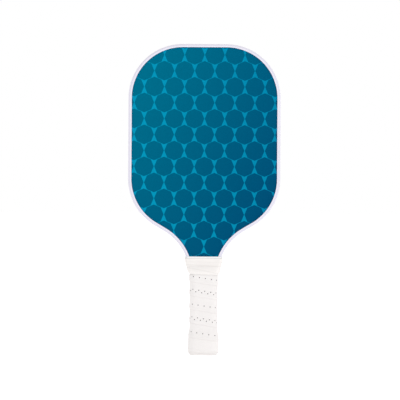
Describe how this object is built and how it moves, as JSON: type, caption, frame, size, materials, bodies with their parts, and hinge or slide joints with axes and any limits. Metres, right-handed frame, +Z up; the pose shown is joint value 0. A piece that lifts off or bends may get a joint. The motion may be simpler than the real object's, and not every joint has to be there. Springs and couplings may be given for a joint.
{
  "type": "pickleball paddle",
  "caption": "Pickleball paddle with a rounded wide head, printed teal octagon face, white edge guard and white perforated wrapped grip.",
  "frame": {"origin": "centre of the butt's flat end, where the paddle stands", "axes": "+Z up the handle to the top of the head, -Y out of the front face, X across the face"},
  "size_m": [0.1994, 0.033, 0.4064],
  "materials": {
    "core": "translucent polypropylene honeycomb",
    "printed_face": "satin glass-fibre sheet with a printed teal octagon pattern",
    "guard": "smooth satin, white with a lavender tint",
    "handle_foam": "rigid moulded foam",
    "cap": "satin moulded nylon",
    "badge": "blank satin disc",
    "staple_wire": "zinc-coated wire",
    "backing": "adhesive liner",
    "grip": "perforated cushioned polyurethane, matte",
    "base_tape": "satin vinyl",
    "finishing_tape": "soft vinyl tape with shallow creases"
  },
  "bodies": {
    "root": {"honeycomb_core": "core", "front_face_sheet": "printed_face", "rear_face_sheet": "printed_face", "edge_guard": "guard", "front_handle_block": "handle_foam", "rear_handle_block": "handle_foam", "butt_cap": "cap", "butt_badge": "badge", "front_staple": "staple_wire", "rear_staple": "staple_wire", "grip_backing_tape": "backing", "grip_wrap": "grip", "neck_base_tape": "base_tape", "upper_finishing_tape": "finishing_tape", "lower_finishing_tape": "finishing_tape"}
  },
  "joints": []
}
